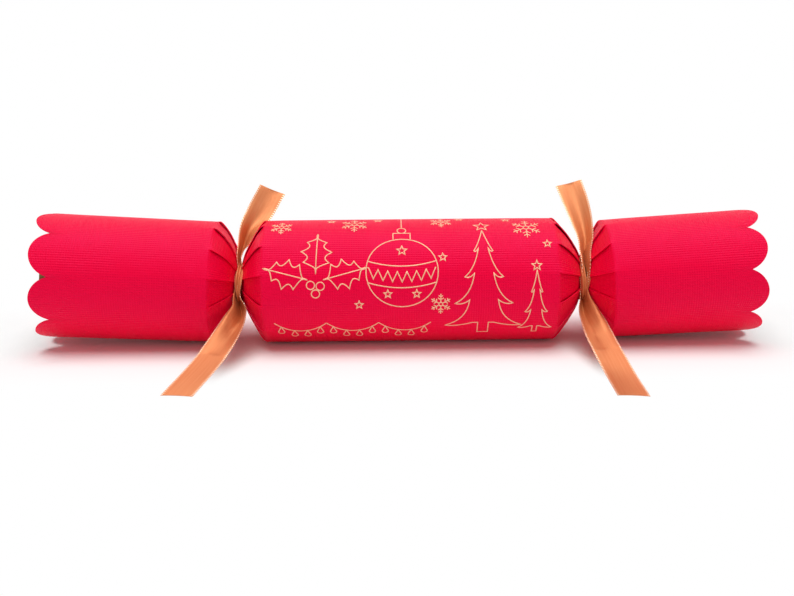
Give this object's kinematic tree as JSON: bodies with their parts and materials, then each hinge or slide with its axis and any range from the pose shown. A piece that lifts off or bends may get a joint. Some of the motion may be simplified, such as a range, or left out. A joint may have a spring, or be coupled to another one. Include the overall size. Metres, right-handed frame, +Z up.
{
  "type": "christmas cracker",
  "caption": "Printed card cracker with a round barrel, pleated ribbon-tied necks and open scalloped ends; a pull snap runs through it and a paper hat, motto and spinning top lie inside.",
  "frame": {"origin": "middle of the narrow flat along the underside of the barrel, on the table", "axes": "+X along the cracker towards its shorter end, -Y the side that faces the viewer in the picture, +Z up"},
  "size_m": [0.3089, 0.1055, 0.067],
  "materials": {
    "printed_card": "satin ribbed card, printed red with gold lines",
    "plain_card": "matt unprinted board",
    "ribbon": "copper satin weave",
    "snap_card": "matt khaki board",
    "charge": "matt dark dried paste",
    "grit": "matt sanded surface",
    "band_paper": "matt thin paper",
    "tissue": "matt folded tissue",
    "slip_paper": "matt paper",
    "turned_wood": "satin varnished beech"
  },
  "bodies": {
    "barrel": {"barrel_sleeve": "printed_card", "barrel_liner": "plain_card"},
    "left_end": {"left_end_sleeve": "printed_card", "left_ribbon": "ribbon", "left_snap_strip": "snap_card", "snap_charge": "charge"},
    "right_end": {"right_end_sleeve": "printed_card", "right_ribbon": "ribbon", "right_snap_strip": "snap_card", "snap_grit": "grit", "snap_band": "band_paper"},
    "hat": {"paper_hat": "tissue"},
    "motto": {"motto_slip": "slip_paper"},
    "top": {"spinning_top": "turned_wood"}
  },
  "joints": [
    {"name": "left_end_pull", "type": "slide", "parent": "barrel", "child": "left_end", "axis": [-1, 0, 0], "range_m": [0, 0.12]},
    {"name": "right_end_pull", "type": "slide", "parent": "barrel", "child": "right_end", "axis": [1, 0, 0], "range_m": [0, 0.12]},
    {"name": "hat_shift", "type": "slide", "parent": "barrel", "child": "hat", "axis": [1, 0, 0], "range_m": [-0.003, 0.008]},
    {"name": "motto_shift", "type": "slide", "parent": "barrel", "child": "motto", "axis": [1, 0, 0], "range_m": [-0.012, 0.012]},
    {"name": "top_shift", "type": "slide", "parent": "barrel", "child": "top", "axis": [1, 0, 0], "range_m": [-0.006, 0.009]}
  ]
}
